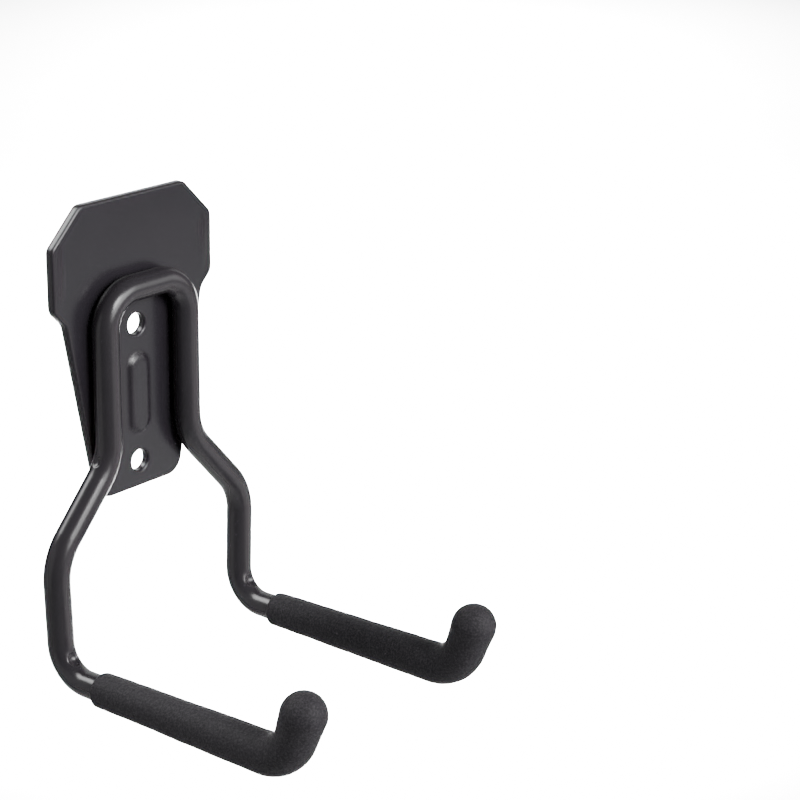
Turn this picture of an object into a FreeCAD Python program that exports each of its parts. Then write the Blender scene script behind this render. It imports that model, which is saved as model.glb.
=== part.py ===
import FreeCAD, Part
import math
import os

# Double-arm storage hook for a garage wall: a stamped back plate, one bent round bar welded to it,
# and a foam sleeve on each arm. Millimetres. The origin is midway between the two screw holes, on
# the back face of the plate. X runs to the right, Y into the wall and Z up.

# Back plate outline
plate_t = 2.5
plate_top = 60.6
plate_width = 63.7
plate_chamfer = 11.1
shoulder_z = 31.2
shoulder_in = 4.4
foot_width = 33.0
r_top_corner = 3.0
r_shoulder = 4.0
r_neck = 5.0
r_foot = 6.0
rim_round = 0.6

# Screw holes and the pressed rib between them
hole_round = 0.6
hole_d = 6.6
hole_spacing = 42.6
foot_below_hole = 8.2
rib_width = 7.6
rib_length = 24.0
rib_raise = 1.0
rib_round = 0.8
rib_foot_round = 0.6

# Soft ridge pressed into each ear, long and low
ridge_from_side = 3.4
ridge_width = 3.2
ridge_length = 18.0
ridge_raise = 0.15
ridge_z = 41.5

# Bar: diameter, and the bend radii on its centre line
bar_d = 8.0
r_crown = 10.6
r_slant_top = 17.2
r_slant_foot = 18.4
r_heel = 10.2
r_tip_bend = 13.2

# Bar route: the half gauge of the upside-down U and its heights
u_half = 16.2
u_top = 34.1
slant_top_z = -15.8
slant_foot_z = -40.6
leg_half = 38.6
leg_lean_in = 1.1
arm_z = -77.1

# Dents that the bender leaves on the inside of the tight bends
dent_r = 2.5
dent_round = 0.5
heel_dent_depth = 1.1
heel_dent_turn = 8.0
slant_dent_depth = 0.6
slant_dent_turn = -4.0

# Arms and upturned tips
arm_length = 88.9
arm_rise = 2.4
arm_toe_in = 0.4
tip_length = 16.7
tip_lean = 19.4
bar_end_past = 1.7
bar_end_chamfer = 0.8

# Foam sleeves
foam_start = 16.2
foam_start_d = 10.7
foam_bend_d = 12.6
foam_tip_d = 13.6
foam_clear = 0.05
foam_lip = 0.8


def vec(x, y, z):
    return FreeCAD.Vector(x, y, z)


def rounded_path(corners, radii, closed):
    """Straight runs joined by tangent arcs, one radius for each corner."""
    count = len(corners)
    trims = []
    for i in range(count):
        if not closed and i in (0, count - 1):
            trims.append((corners[i], None, corners[i]))
            continue
        here = corners[i]
        back = corners[i - 1].sub(here).normalize()
        ahead = corners[(i + 1) % count].sub(here).normalize()
        half_turn = back.getAngle(ahead) / 2.0
        reach = radii[i] / math.tan(half_turn)
        bisector = back.add(ahead).normalize()
        centre = here.add(bisector * (radii[i] / math.sin(half_turn)))
        mid = centre.sub(bisector * radii[i])
        trims.append((here.add(back * reach), mid, here.add(ahead * reach)))
    edges = []
    runs = count if closed else count - 1
    for i in range(runs):
        start, mid, end = trims[i]
        if mid is not None:
            edges.append(Part.Arc(start, mid, end).toShape())
        edges.append(Part.LineSegment(end, trims[(i + 1) % count][0]).toShape())
    return Part.Wire(edges)


# Back plate
def plate_outline():
    """Half outline from the crown to the foot, mirrored about the middle."""
    half = plate_width / 2.0
    foot_z = -hole_spacing / 2.0 - foot_below_hole
    right = [
        (half - plate_chamfer, plate_top, r_top_corner),
        (half, plate_top - plate_chamfer, r_top_corner),
        (half, shoulder_z, r_shoulder),
        (half - shoulder_in, shoulder_z - shoulder_in, r_neck),
        (foot_width / 2.0, foot_z, r_foot),
    ]
    left = [(-x, z, r) for x, z, r in reversed(right)]
    outline = right + left
    corners = [vec(x, 0, z) for x, z, r in outline]
    radii = [r for x, z, r in outline]
    return rounded_path(corners, radii, True)


def slot_solid(width, length, y_low, y_high):
    """Upright bar of round-ended section between two depths."""
    r = width / 2.0
    run = length / 2.0 - r
    top = Part.Arc(vec(r, y_low, run), vec(0, y_low, run + r), vec(-r, y_low, run)).toShape()
    bottom = Part.Arc(vec(-r, y_low, -run), vec(0, y_low, -run - r), vec(r, y_low, -run)).toShape()
    sides = [
        Part.LineSegment(vec(-r, y_low, run), vec(-r, y_low, -run)).toShape(),
        Part.LineSegment(vec(r, y_low, -run), vec(r, y_low, run)).toShape(),
    ]
    face = Part.Face(Part.Wire([top, sides[0], bottom, sides[1]]))
    return face.extrude(vec(0, y_high - y_low, 0))


def edges_at_depth(solid, depth):
    """Edges that lie wholly in the plane at one depth."""
    found = []
    for edge in solid.Edges:
        box = edge.BoundBox
        if abs(box.YMin - depth) < 1e-4 and abs(box.YMax - depth) < 1e-4:
            found.append(edge)
    return found


def ear_ridge(side):
    """Low lens of a wide ring, so that the ridge fades out at its ends and sides."""
    across = ridge_width ** 2 / (8.0 * ridge_raise) + ridge_raise / 2.0
    along = ridge_length ** 2 / (8.0 * ridge_raise) + ridge_raise / 2.0
    at_x = side * (plate_width / 2.0 - ridge_from_side)
    ring_at = vec(at_x, -plate_t - ridge_raise + along, ridge_z)
    ring = Part.makeTorus(along - across, across, ring_at, vec(1, 0, 0))
    slab_at = vec(at_x - ridge_width, -plate_t - 2 * ridge_raise, ridge_z - ridge_length)
    slab = Part.makeBox(2 * ridge_width, 2 * ridge_raise + 0.1, 2 * ridge_length, slab_at)
    return ring.common(slab)


def rib_foot_edges(plate):
    """Edges where the rib rises from the front face."""
    found = []
    for edge in edges_at_depth(plate, -plate_t):
        box = edge.BoundBox
        in_width = max(abs(box.XMin), abs(box.XMax)) < rib_width / 2.0 + 0.1
        if in_width and abs(box.Center.z) < rib_length / 2.0:
            found.append(edge)
    return found


def make_back_plate():
    blank = Part.Face(plate_outline()).extrude(vec(0, -plate_t, 0))
    blank = blank.makeFillet(rim_round, edges_at_depth(blank, -plate_t))
    rib = slot_solid(rib_width, rib_length, -plate_t, -plate_t - rib_raise)
    rib = rib.makeFillet(rib_round, edges_at_depth(rib, -plate_t - rib_raise))
    hollow = slot_solid(rib_width - plate_t, rib_length - plate_t, 0.0, -rib_raise)
    plate = blank.fuse(rib).removeSplitter()
    plate = plate.makeFillet(rib_foot_round, rib_foot_edges(plate))
    plate = plate.cut(hollow)
    for side in (-1, 1):
        at = vec(0, 1, side * hole_spacing / 2.0)
        hole = Part.makeCylinder(hole_d / 2.0, plate_t + 2, at, vec(0, -1, 0))
        plate = plate.cut(hole)
        plate = plate.fuse(ear_ridge(side))
    rims = [e for e in edges_at_depth(plate, -plate_t) if abs(e.Length - math.pi * hole_d) < 1e-3]
    plate = plate.makeFillet(hole_round, rims)
    return plate.removeSplitter()


# Bent bar
def arm_points(side):
    """Corners of one side, from the top of the upside-down U to the end of the tip."""
    back = -plate_t - bar_d / 2.0
    crown = vec(side * u_half, back, u_top)
    slant_top = vec(side * u_half, back, slant_top_z)
    slant_foot = vec(side * leg_half, back, slant_foot_z)
    heel = vec(side * (leg_half - leg_lean_in), back, arm_z)
    toe = heel.add(vec(-side * arm_toe_in, -arm_length, arm_rise))
    lean = math.radians(tip_lean)
    tip_way = vec(0, -math.sin(lean), math.cos(lean))
    tip = toe.add(tip_way * tip_length)
    return crown, slant_top, slant_foot, heel, toe, tip, tip_way


def press_dent(bar, corner_run, bend_radius, depth, turn):
    """Presses a ball into the inside of one bend, some degrees past its middle, and rounds the rim."""
    before, corner, after = corner_run
    back = before.sub(corner).normalize()
    ahead = after.sub(corner).normalize()
    half_turn = back.getAngle(ahead) / 2.0
    inward = back.add(ahead).normalize()
    centre = corner.add(inward * (bend_radius / math.sin(half_turn)))
    axis = ahead.cross(back).normalize()
    outward = FreeCAD.Rotation(axis, -turn).multVec(inward * -1)
    ball_at = centre.add(outward * (bend_radius - bar_d / 2.0 - dent_r + depth))
    bar = bar.cut(Part.makeSphere(dent_r, ball_at))
    rim = []
    for edge in bar.Edges:
        middle = edge.valueAt((edge.FirstParameter + edge.LastParameter) / 2.0)
        ends = (edge.valueAt(edge.FirstParameter), middle)
        if all(abs(point.sub(ball_at).Length - dent_r) < 0.01 for point in ends):
            rim.append(edge)
    return bar.makeFillet(dent_round, rim)


def make_hook_frame():
    """The right half from the middle of the U to the tip, mirrored."""
    crown, slant_top, slant_foot, heel, toe, tip, tip_way = arm_points(1)
    middle = vec(0, crown.y, crown.z)
    end = tip.add(tip_way * (bar_end_past - bar_end_chamfer))
    route = [middle, crown, slant_top, slant_foot, heel, toe, end]
    radii = [0, r_crown, r_slant_top, r_slant_foot, r_heel, r_tip_bend, 0]
    path = rounded_path(route, radii, False)
    section = Part.Wire(Part.makeCircle(bar_d / 2.0, middle, vec(1, 0, 0)))
    half = path.makePipeShell([section], True, False)
    nose = Part.makeCone(bar_d / 2.0, bar_d / 2.0 - bar_end_chamfer, bar_end_chamfer, end, tip_way)
    half = half.fuse(nose)
    half = press_dent(half, (crown, slant_top, slant_foot), r_slant_top, slant_dent_depth, slant_dent_turn)
    half = press_dent(half, (slant_foot, heel, toe), r_heel, heel_dent_depth, heel_dent_turn)
    other = half.mirror(vec(0, 0, 0), vec(1, 0, 0))
    return half.fuse(other).removeSplitter()


# Foam sleeves
def sleeve_skin(side):
    """Outer form: a slight cone on the arm, the bend, a flared tip and a round end."""
    heel, toe, tip, tip_way = arm_points(side)[3:]
    arm_way = toe.sub(heel).normalize()
    back_way = arm_way * -1
    half_turn = back_way.getAngle(tip_way) / 2.0
    reach = r_tip_bend / math.tan(half_turn)
    start = heel.add(arm_way * foam_start)
    bend_in = toe.add(back_way * reach)
    bend_out = toe.add(tip_way * reach)
    arm_run = bend_in.sub(start).Length
    tip_run = tip.sub(bend_out).Length
    arm_cone = Part.makeCone(foam_start_d / 2.0, foam_bend_d / 2.0, arm_run, start, arm_way)
    mouth = [e for e in arm_cone.Edges if e.BoundBox.Center.sub(start).Length < 0.01]
    arm_cone = arm_cone.makeFillet(foam_lip, mouth)
    bisector = back_way.add(tip_way).normalize()
    centre = toe.add(bisector * (r_tip_bend / math.sin(half_turn)))
    axis = arm_way.cross(tip_way).normalize()
    ring = Part.Face(Part.Wire(Part.makeCircle(foam_bend_d / 2.0, bend_in, arm_way)))
    bend = ring.revolve(centre, axis, 180.0 - math.degrees(2.0 * half_turn))
    tip_cone = Part.makeCone(foam_bend_d / 2.0, foam_tip_d / 2.0, tip_run, bend_out, tip_way)
    dome = Part.makeSphere(foam_tip_d / 2.0, tip)
    return arm_cone.fuse([bend, tip_cone, dome])


def sleeve_bore(side):
    """Hollow that the bar fills, from just outside the mouth to the bar's end."""
    heel, toe, tip, tip_way = arm_points(side)[3:]
    arm_way = toe.sub(heel).normalize()
    start = heel.add(arm_way * (foam_start - 2.0))
    end = tip.add(tip_way * (bar_end_past + foam_clear))
    path = rounded_path([start, toe, end], [0, r_tip_bend, 0], False)
    section = Part.Wire(Part.makeCircle(bar_d / 2.0 + foam_clear, start, arm_way))
    return path.makePipeShell([section], True, False)


def make_foam_sleeve(side):
    return sleeve_skin(side).cut(sleeve_bore(side))


os.makedirs("parts", exist_ok=True)
pieces = {
    "back_plate": make_back_plate(),
    "hook_frame": make_hook_frame(),
    "foam_sleeve_left": make_foam_sleeve(-1),
    "foam_sleeve_right": make_foam_sleeve(1),
}
for name, shape in pieces.items():
    if len(shape.Solids) == 1:
        shape = shape.Solids[0]
    shape.exportStep("parts/" + name + ".step")
    box = shape.BoundBox
    print(name, len(shape.Solids), shape.isValid(), round(shape.Volume, 1),
          [round(v, 1) for v in (box.XMin, box.XMax, box.YMin, box.YMax, box.ZMin, box.ZMax)])
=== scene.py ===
import math

import bpy
from mathutils import Matrix, Vector, noise


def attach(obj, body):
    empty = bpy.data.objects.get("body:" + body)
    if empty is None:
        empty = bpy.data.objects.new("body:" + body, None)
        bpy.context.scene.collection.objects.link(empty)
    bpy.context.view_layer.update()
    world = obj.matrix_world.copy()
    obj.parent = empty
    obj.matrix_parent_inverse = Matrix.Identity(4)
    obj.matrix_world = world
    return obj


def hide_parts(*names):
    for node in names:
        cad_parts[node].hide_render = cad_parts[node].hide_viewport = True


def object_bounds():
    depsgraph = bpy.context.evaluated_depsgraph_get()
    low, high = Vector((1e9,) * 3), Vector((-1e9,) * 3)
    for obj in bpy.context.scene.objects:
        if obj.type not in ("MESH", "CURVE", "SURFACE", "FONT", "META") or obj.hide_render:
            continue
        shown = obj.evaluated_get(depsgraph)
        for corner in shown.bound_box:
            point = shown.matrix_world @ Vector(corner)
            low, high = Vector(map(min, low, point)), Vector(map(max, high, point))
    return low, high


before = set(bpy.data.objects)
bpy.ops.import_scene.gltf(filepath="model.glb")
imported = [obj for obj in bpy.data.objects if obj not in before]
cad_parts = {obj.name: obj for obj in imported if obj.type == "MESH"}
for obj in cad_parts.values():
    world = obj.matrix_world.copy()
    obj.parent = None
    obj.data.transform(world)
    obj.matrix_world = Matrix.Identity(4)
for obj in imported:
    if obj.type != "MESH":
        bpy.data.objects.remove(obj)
cad_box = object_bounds()

# Camera: a long lens and a three-quarter view from the left, looking down on the arms. Its place is in
# metres and its angles are in degrees. The lens is given in pixels of a picture that is PHOTO_PX wide.
PHOTO_PX = 800
FOCAL_PX = 2241.9
SENSOR_MM = 36.0
CAMERA_AT = (-0.43775, -0.45911, 0.21628)
CAMERA_YAW = 50.826
CAMERA_PITCH = 19.111
CAMERA_ROLL = -0.735
CAMERA_NEAR = 0.01
CAMERA_FAR = 20.0


def camera_axes(yaw, pitch, roll):
    """Right, down and forward of a camera that heads yaw degrees to the right of +Y."""
    yaw, pitch, roll = (math.radians(angle) for angle in (yaw, pitch, roll))
    forward = Vector((math.sin(yaw) * math.cos(pitch), math.cos(yaw) * math.cos(pitch), -math.sin(pitch)))
    level = Vector((math.cos(yaw), -math.sin(yaw), 0.0))
    down = forward.cross(level)
    right = math.cos(roll) * level + math.sin(roll) * down
    down = -math.sin(roll) * level + math.cos(roll) * down
    return right, down, forward


camera_data = bpy.data.cameras.new("camera")
camera_data.sensor_width = SENSOR_MM
camera_data.lens = FOCAL_PX * SENSOR_MM / PHOTO_PX
camera_data.clip_start = CAMERA_NEAR
camera_data.clip_end = CAMERA_FAR
camera = bpy.data.objects.new("camera", camera_data)
bpy.context.scene.collection.objects.link(camera)
right, down, forward = camera_axes(CAMERA_YAW, CAMERA_PITCH, CAMERA_ROLL)
camera.matrix_world = Matrix((
    (right.x, -down.x, -forward.x, CAMERA_AT[0]),
    (right.y, -down.y, -forward.y, CAMERA_AT[1]),
    (right.z, -down.z, -forward.z, CAMERA_AT[2]),
    (0.0, 0.0, 0.0, 1.0),
))
bpy.context.scene.camera = camera

# Studio paper: plain white card, laid so far below the hook that no shadow of the hook shows on it.
# Sizes in the studio are in metres. Those of patterns and of the hook's pieces are in millimetres.
MM = 0.001
PAPER_COLOUR = "F4F4F4"
PAPER_CLOUD = 300.0
PAPER_SHADE = 0.96
FLOOR_BELOW = 0.60
FLOOR_HALF = 6.0

# The Mix node's colour sockets share their names with its other sockets, so they go by number.
MIX_A, MIX_B, MIX_RESULT = 6, 7, 2


def linear(hex_colour):
    """sRGB hex to linear red, green, blue and alpha."""
    out = []
    for i in (0, 2, 4):
        c = int(hex_colour[i:i + 2], 16) / 255.0
        out.append(c / 12.92 if c <= 0.04045 else ((c + 0.055) / 1.055) ** 2.4)
    return (*out, 1.0)


def add_node(tree, kind, inputs=None, **settings):
    """Adds a node, sets its properties, and sets or links its inputs, which go by name or number."""
    node = tree.nodes.new(kind)
    for key, value in settings.items():
        setattr(node, key, value)
    for key, value in (inputs or {}).items():
        if isinstance(value, bpy.types.NodeSocket):
            tree.links.new(value, node.inputs[key])
        else:
            node.inputs[key].default_value = value
    return node


def new_material(name):
    """A new material and its node tree, cleared of nodes."""
    material = bpy.data.materials.new(name)
    material.use_nodes = True
    material.node_tree.nodes.clear()
    return material, material.node_tree


# Matt white card: the eye sees an even sheet without shine, with broad clouds too faint to pick out.
paper, tree = new_material("matt_white_card")
clouds = add_node(tree, "ShaderNodeTexNoise", {"Scale": 2.0 * FLOOR_HALF / (PAPER_CLOUD * MM), "Detail": 2.0})
shade = add_node(tree, "ShaderNodeMapRange", {
    "Value": clouds.outputs["Fac"], "To Min": PAPER_SHADE, "To Max": 1.0})
colour = add_node(tree, "ShaderNodeMix", {
    "Factor": 1.0, MIX_A: linear(PAPER_COLOUR), MIX_B: shade.outputs["Result"]},
    data_type="RGBA", blend_type="MULTIPLY")
shader = add_node(tree, "ShaderNodeBsdfPrincipled", {
    "Base Color": colour.outputs[MIX_RESULT], "Roughness": 0.9})
add_node(tree, "ShaderNodeOutputMaterial", {"Surface": shader.outputs["BSDF"]})

floor_mesh = bpy.data.meshes.new("floor")
floor_z = cad_box[0].z - FLOOR_BELOW
corners = [(x * FLOOR_HALF, y * FLOOR_HALF, floor_z) for x, y in ((-1, -1), (1, -1), (1, 1), (-1, 1))]
floor_mesh.from_pydata(corners, [], [(0, 1, 2, 3)])
floor = bpy.data.objects.new("floor", floor_mesh)
floor.data.materials.append(paper)
bpy.context.scene.collection.objects.link(floor)

# Studio light: a dim white room, two lamps that shine only on the paper behind the hook, and soft lamps
# around the hook. The softboxes give the bar its streaks and the plate's rim its bright line, the cards
# lift the plate's face and the sides of the legs, and the wall behind lights edges that turn away.
ROOM_STRENGTH = 0.15
HOOK_MIDDLE = (0.0, -0.04, -0.01)
WIDE_SPREAD = 180.0

world = bpy.data.worlds.new("white_studio")
bpy.context.scene.world = world
world.use_nodes = True
world.node_tree.nodes.clear()
room = add_node(world.node_tree, "ShaderNodeBackground", {
    "Color": (1.0, 1.0, 1.0, 1.0), "Strength": ROOM_STRENGTH})
add_node(world.node_tree, "ShaderNodeOutputWorld", {"Surface": room.outputs["Background"]})


def soft_lamp(name, at, size, watts, aim=HOOK_MIDDLE, spread=WIDE_SPREAD):
    """A rectangular lamp of that width and height, turned to its aim, that spreads over so many degrees."""
    data = bpy.data.lights.new(name, "AREA")
    data.shape = "RECTANGLE"
    data.size, data.size_y = size
    data.energy = watts
    data.spread = math.radians(spread)
    lamp = bpy.data.objects.new(name, data)
    lamp.location = at
    lamp.rotation_euler = (Vector(aim) - Vector(at)).to_track_quat("-Z", "Y").to_euler()
    bpy.context.scene.collection.objects.link(lamp)


soft_lamp("near_paper_lamp", at=(1.65, 1.25, 0.05), size=(0.8, 2.0), watts=370.0,
          aim=(1.658, 1.256, -1.0), spread=80.0)
soft_lamp("far_paper_lamp", at=(3.12, 2.45, 0.6), size=(1.6, 2.6), watts=450.0,
          aim=(3.128, 2.456, -1.0), spread=110.0)
soft_lamp("front_softbox", at=(0.25, -1.18, 0.36), size=(1.0, 0.7), watts=4.2, spread=80.0)
soft_lamp("front_left_softbox", at=(-0.09, -1.06, 0.57), size=(0.38, 0.38), watts=2.1, spread=80.0)
soft_lamp("back_softbox", at=(-0.36, 0.69, 0.83), size=(0.65, 0.7), watts=2.6, spread=70.0)
soft_lamp("right_softbox", at=(0.91, -0.71, 0.25), size=(0.7, 0.6), watts=0.47, spread=80.0)
soft_lamp("right_card", at=(0.58, -0.73, -0.44), size=(1.3, 0.5), watts=1.6)
soft_lamp("left_card", at=(-1.05, 0.50, 0.0), size=(1.2, 1.2), watts=2.0)
soft_lamp("back_wall", at=(1.05, 0.95, 0.50), size=(1.8, 1.1), watts=6.5)

# Back plate: mild steel sheet, stamped out with its two screw holes and a pressed rib between them, then
# powder coated and baked. Two screws hold it to the wall, and the bar is fixed to its face.
PLATE_T = 2.5
PLATE_HALF = 31.85
PLATE_RIM = 0.6
CHAMFER_FOOT_Z = 49.5
RIB_HALF_WIDTH = 7.0
RIB_HALF_LENGTH = 16.0
PLATE_COLOUR = "1F1C21"
PLATE_DUST = "272429"
PLATE_ROUGHNESS = (0.22, 0.26)
PLATE_PEEL = 0.9
PLATE_EDGE = 1.2
RIB_EDGE = 2.6
PEEL_DEPTH = 0.006
COAT_CLOUD = 18.0
COAT_IOR = 1.5


def black_coat(name, colours, roughness, peel, edge, rib_edge):
    """A baked black coat: clouds of two near-black tones, orange peel, and edges that look rounder."""
    material, tree = new_material(name)
    place = add_node(tree, "ShaderNodeTexCoord").outputs["Object"]
    clouds = add_node(tree, "ShaderNodeTexNoise", {
        "Vector": place, "Scale": 1.0 / (COAT_CLOUD * MM), "Detail": 3.0}).outputs["Fac"]
    tone = add_node(tree, "ShaderNodeMix", {
        "Factor": clouds, MIX_A: linear(colours[0]), MIX_B: linear(colours[1])}, data_type="RGBA")
    gloss = add_node(tree, "ShaderNodeMapRange", {
        "Value": clouds, "To Min": roughness[0], "To Max": roughness[1]})
    # Edges are shaded as if rounded by edge, and by rib_edge over the rib in the middle of the plate.
    axes = add_node(tree, "ShaderNodeSeparateXYZ", {"Vector": place}).outputs
    in_width = add_node(tree, "ShaderNodeMath", {
        0: axes["X"], 1: 0.0, 2: RIB_HALF_WIDTH * MM}, operation="COMPARE")
    in_length = add_node(tree, "ShaderNodeMath", {
        0: axes["Z"], 1: 0.0, 2: RIB_HALF_LENGTH * MM}, operation="COMPARE")
    at_rib = add_node(tree, "ShaderNodeMath", {
        0: in_width.outputs[0], 1: in_length.outputs[0]}, operation="MULTIPLY")
    radius = add_node(tree, "ShaderNodeMapRange", {
        "Value": at_rib.outputs[0], "To Min": edge * MM, "To Max": rib_edge * MM})
    rounded = add_node(tree, "ShaderNodeBevel", {"Radius": radius.outputs["Result"]}, samples=8)
    ripple = add_node(tree, "ShaderNodeTexNoise", {
        "Vector": place, "Scale": 1.0 / (peel * MM), "Detail": 2.0})
    bump = add_node(tree, "ShaderNodeBump", {
        "Height": ripple.outputs["Fac"], "Normal": rounded.outputs["Normal"],
        "Strength": 0.5, "Distance": PEEL_DEPTH * MM})
    shader = add_node(tree, "ShaderNodeBsdfPrincipled", {
        "Base Color": tone.outputs[MIX_RESULT], "Normal": bump.outputs["Normal"],
        "Roughness": gloss.outputs["Result"], "IOR": COAT_IOR})
    add_node(tree, "ShaderNodeOutputMaterial", {"Surface": shader.outputs["BSDF"]})
    return material


def dress(node, material):
    """Gives a piece of the frame its finish."""
    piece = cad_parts[node]
    piece.data.materials.clear()
    piece.data.materials.append(material)
    return piece


def lay_ridge_tips(piece):
    """Lays the tips of the ear ridges, which run past the upper corners' rounded rim, down onto it."""
    tree = bpy.data.node_groups.new("ridge_tips", "GeometryNodeTree")
    for way in ("INPUT", "OUTPUT"):
        tree.interface.new_socket("Geometry", in_out=way, socket_type="NodeSocketGeometry")
    position = add_node(tree, "GeometryNodeInputPosition").outputs["Position"]
    x, y, z = add_node(tree, "ShaderNodeSeparateXYZ", {"Vector": position}).outputs
    found = {"x": x, "y": y, "z": z}
    # Past is how far a point lies beyond the edge of the 45 degree chamfer, and inset is how far the rounded
    # rim has drawn in at that height. Where their sum stands over the rim, the point moves back by it.
    # Each row names a value, how it is worked out, and what it is worked out from.
    sums = (
        ("reach", "ABSOLUTE", "x"),
        ("reach", "ADD", "reach", "z"),
        ("past", "SUBTRACT", "reach", (PLATE_HALF + CHAMFER_FOOT_Z) * MM),
        ("past", "MULTIPLY", "past", math.sqrt(0.5)),
        ("rise", "SUBTRACT", (PLATE_RIM - PLATE_T) * MM, "y"),
        ("rise", "MAXIMUM", "rise", 0.0),
        ("rise", "MINIMUM", "rise", PLATE_RIM * MM),
        ("square", "MULTIPLY", "rise", "rise"),
        ("square", "SUBTRACT", (PLATE_RIM * MM) ** 2, "square"),
        ("level", "SQRT", "square"),
        ("inset", "SUBTRACT", PLATE_RIM * MM, "level"),
        ("over", "ADD", "past", "inset"),
        ("over", "MAXIMUM", "over", 0.0),
        ("down", "MULTIPLY", "over", -math.sqrt(0.5)),
        ("inward", "SIGN", "x"),
        ("inward", "MULTIPLY", "inward", "down"),
    )
    for result, operation, *parts in sums:
        inputs = {i: found.get(part, part) for i, part in enumerate(parts)}
        found[result] = add_node(tree, "ShaderNodeMath", inputs, operation=operation).outputs[0]
    shift = add_node(tree, "ShaderNodeCombineXYZ", {"X": found["inward"], "Z": found["down"]})
    bare = add_node(tree, "NodeGroupInput").outputs["Geometry"]
    laid = add_node(tree, "GeometryNodeSetPosition", {"Geometry": bare, "Offset": shift.outputs["Vector"]})
    add_node(tree, "NodeGroupOutput", {"Geometry": laid.outputs["Geometry"]})
    piece.modifiers.new("ridge_tips", "NODES").node_group = tree


# Satin powder coat: the powder melts into a skin with a faint peel and fills over every edge. The eye
# sees a calm dark face that takes up light slowly, and a round, bright line along the rim and the rib.
plate_coat = black_coat("satin_powder_coat", (PLATE_COLOUR, PLATE_DUST), PLATE_ROUGHNESS,
                        PLATE_PEEL, PLATE_EDGE, RIB_EDGE)
plate = dress("back_plate", plate_coat)
lay_ridge_tips(plate)

# Hook frame: one length of round steel, bent in a tube bender from tip to tip, fixed to the plate's face
# along its upper loop, and coated like the plate.
BAR_COLOUR = "262327"
BAR_DUST = "2E2B2F"
BAR_ROUGHNESS = (0.23, 0.265)
BAR_PEEL = 1.6
BAR_EDGE = 0.1

# Smooth black enamel: its peel is wide and shallow, so each lamp runs along the bar as a clear streak.
bar_coat = black_coat("smooth_black_enamel", (BAR_COLOUR, BAR_DUST), BAR_ROUGHNESS,
                      BAR_PEEL, BAR_EDGE, BAR_EDGE)
dress("hook_frame", bar_coat)

# Foam sleeves: black closed-cell foam tube with one end closed, pushed over each arm. The cut mouth is
# rounded over, and the sleeve grows towards its tip, where the foam bunches up. Its centre line is the
# bar's: an arm that runs out from the heel, a bend, and a tip that leans out by TIP_LEAN degrees.
BAR_R = 4.0
ARM_BACK = PLATE_T + BAR_R
HEEL_HALF = 37.5
HEEL_Z = -77.1
ARM_LENGTH = 88.9
ARM_RISE = 2.4
ARM_TOE_IN = 0.4
TIP_LENGTH = 16.7
TIP_LEAN = 19.4
TIP_BEND = 13.2
MOUTH_FROM_HEEL = 16.2
MOUTH_R = 5.35
BEND_R = 6.3
DOME_R = 6.8
LIP = 1.1
BORE_R = BAR_R + 0.06
BORE_SHOWN = 1.6
BORE_RINGS = 4
LIP_RINGS = 5
RINGS_PER_MM = 2.6
RING_POINTS = 104
LUMPS_PAST_R = BAR_R + 0.1
LUMP = 1.6
LUMP_DEPTH = 0.05
SWELL = 9.0
SWELL_DEPTH = 0.12
SKIN_INSET = 0.1
LUMP_SEED = (31.0, 7.0, 3.0)
FOAM_COLOUR = "221F23"
# The grey that follows is painted highlight for the pebble tops, not a colour of the foam.
PEBBLE_TOP_HIGHLIGHT_GREY = "383539"
PEBBLE = 0.6
PEBBLE_DEPTH = 0.25


def sleeve_stations(side):
    """Places along one sleeve's centre line with their headings and radii, and the bend's axis."""
    heel = Vector((side * HEEL_HALF, -ARM_BACK, HEEL_Z))
    toe = heel + Vector((-side * ARM_TOE_IN, -ARM_LENGTH, ARM_RISE))
    lean = math.radians(TIP_LEAN)
    tip_way = Vector((0.0, -math.sin(lean), math.cos(lean)))
    arm_way = (toe - heel).normalized()
    turn = arm_way.angle(tip_way)
    reach = TIP_BEND * math.tan(turn / 2.0)
    start = heel + arm_way * MOUTH_FROM_HEEL
    bend_in = toe - arm_way * reach
    bend_out = toe + tip_way * reach
    axis = arm_way.cross(tip_way).normalized()
    centre = bend_in + axis.cross(arm_way) * TIP_BEND
    arm_run = (bend_in - start).length
    bend_run = TIP_BEND * turn
    tip_run = TIP_LENGTH - reach
    total = arm_run + bend_run + tip_run
    count = int(total * RINGS_PER_MM)
    stations = []
    for i in range(count + 1):
        along = total * i / count
        if along < arm_run:
            at, way = start + arm_way * along, arm_way
            radius = MOUTH_R + (BEND_R - MOUTH_R) * along / arm_run
        elif along < arm_run + bend_run:
            spin = Matrix.Rotation((along - arm_run) / TIP_BEND, 3, axis)
            at, way = centre + spin @ (bend_in - centre), spin @ arm_way
            radius = BEND_R
        else:
            up_tip = along - arm_run - bend_run
            at, way = bend_out + tip_way * up_tip, tip_way
            radius = BEND_R + (DOME_R - BEND_R) * up_tip / tip_run
        if along < LIP:
            radius -= LIP - math.sqrt(LIP ** 2 - (LIP - along) ** 2)
        stations.append((at, way, radius))
    return stations, axis


def sleeve_rings(stations):
    """Rings from inside the bore, out over the rolled mouth, along the sleeve and over its closed end."""
    mouth_at, mouth_way = stations[0][:2]
    end_at, end_way = stations[-1][:2]
    rings = []
    for i in range(BORE_RINGS):
        depth = BORE_SHOWN * (1.0 - i / BORE_RINGS)
        rings.append((mouth_at + mouth_way * depth, mouth_way, BORE_R))
    for i in range(1, LIP_RINGS):
        rings.append((mouth_at, mouth_way, BORE_R + (MOUTH_R - LIP - BORE_R) * i / LIP_RINGS))
    rings += stations
    steps = int(DOME_R * math.pi / 2.0 * RINGS_PER_MM)
    for i in range(1, steps):
        angle = math.pi / 2.0 * i / steps
        rings.append((end_at + end_way * DOME_R * math.sin(angle), end_way, DOME_R * math.cos(angle)))
    return rings


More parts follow.
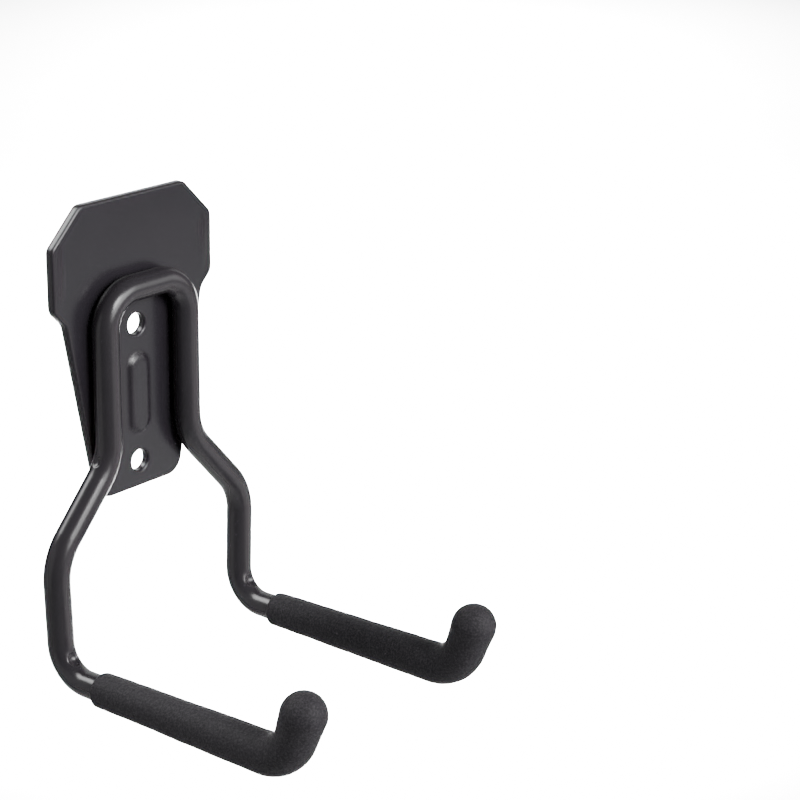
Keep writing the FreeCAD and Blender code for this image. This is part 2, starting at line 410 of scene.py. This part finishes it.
def sleeve_mesh(side):
    """Points and faces of one sleeve. Its skin has small lumps and broad swells, and its bore is smooth."""
    stations, axis = sleeve_stations(side)
    rings = sleeve_rings(stations)
    end_at, end_way = stations[-1][:2]
    seed = Vector((LUMP_SEED[0] * side, LUMP_SEED[1], LUMP_SEED[2]))
    points = []
    for at, way, radius in rings:
        across = axis.cross(way).normalized()
        for k in range(RING_POINTS):
            angle = 2.0 * math.pi * k / RING_POINTS
            out = axis * math.cos(angle) + across * math.sin(angle)
            point = at + out * radius
            if radius > LUMPS_PAST_R or (at - end_at).length < DOME_R:
                lump = noise.noise(point / LUMP + seed) * LUMP_DEPTH
                swell = noise.noise(point / SWELL + seed) * SWELL_DEPTH
                point = point + out * (lump + swell - SKIN_INSET)
            points.append(point * MM)
    faces = []
    for ring in range(len(rings) - 1):
        for k in range(RING_POINTS):
            a, b = ring * RING_POINTS + k, ring * RING_POINTS + (k + 1) % RING_POINTS
            faces.append((a, b, b + RING_POINTS, a + RING_POINTS))
    crown = len(points)
    points.append((end_at + end_way * DOME_R) * MM)
    last = (len(rings) - 1) * RING_POINTS
    for k in range(RING_POINTS):
        faces.append((last + k, last + (k + 1) % RING_POINTS, crown))
    return points, faces


def foam_skin():
    """Black foam with its pebble tops painted grey as painted highlight and the hollows between them left
    dark as painted shade, no gloss and a trace of sheen.
    """
    material, tree = new_material("pebbled_black_foam")
    place = add_node(tree, "ShaderNodeTexCoord").outputs["Object"]
    pebbles = add_node(tree, "ShaderNodeTexNoise", {
        "Vector": place, "Scale": 1.0 / (PEBBLE * MM), "Detail": 4.0, "Roughness": 0.6}).outputs["Fac"]
    # Painted highlight and painted shade: the higher a pebble stands, the greyer it is painted, so tops look
    # lit and hollows look shaded.
    pebble_top_highlight = add_node(tree, "ShaderNodeMapRange", {"Value": pebbles, "From Min": 0.42, "From Max": 0.72})
    tone = add_node(tree, "ShaderNodeMix", {
        "Factor": pebble_top_highlight.outputs["Result"], MIX_A: linear(FOAM_COLOUR), MIX_B: linear(PEBBLE_TOP_HIGHLIGHT_GREY)},
        data_type="RGBA")
    bump = add_node(tree, "ShaderNodeBump", {
        "Height": pebbles, "Strength": 0.5, "Distance": PEBBLE_DEPTH * MM})
    shader = add_node(tree, "ShaderNodeBsdfPrincipled", {
        "Base Color": tone.outputs[MIX_RESULT], "Normal": bump.outputs["Normal"], "Roughness": 0.7,
        "Specular IOR Level": 0.25, "Sheen Weight": 0.03, "Sheen Roughness": 0.5})
    add_node(tree, "ShaderNodeOutputMaterial", {"Surface": shader.outputs["BSDF"]})
    return material


# Closed-cell foam: the eye sees a soft, matt black beside the shiny bar. Its pebble tops carry a painted
# highlight in grey, and the hollows between them keep the darker foam colour as painted shade. The pebbles
# are drawn a little coarser than the foam's cells, so that they show.
foam = foam_skin()
for side, name in ((-1, "left"), (1, "right")):
    points, faces = sleeve_mesh(side)
    mesh = bpy.data.meshes.new("padded_sleeve_" + name)
    mesh.from_pydata(points, [], faces)
    mesh.polygons.foreach_set("use_smooth", [True] * len(mesh.polygons))
    mesh.materials.append(foam)
    sleeve = bpy.data.objects.new("padded_sleeve_" + name, mesh)
    bpy.context.scene.collection.objects.link(sleeve)
    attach(sleeve, "root")
    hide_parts("foam_sleeve_" + name)
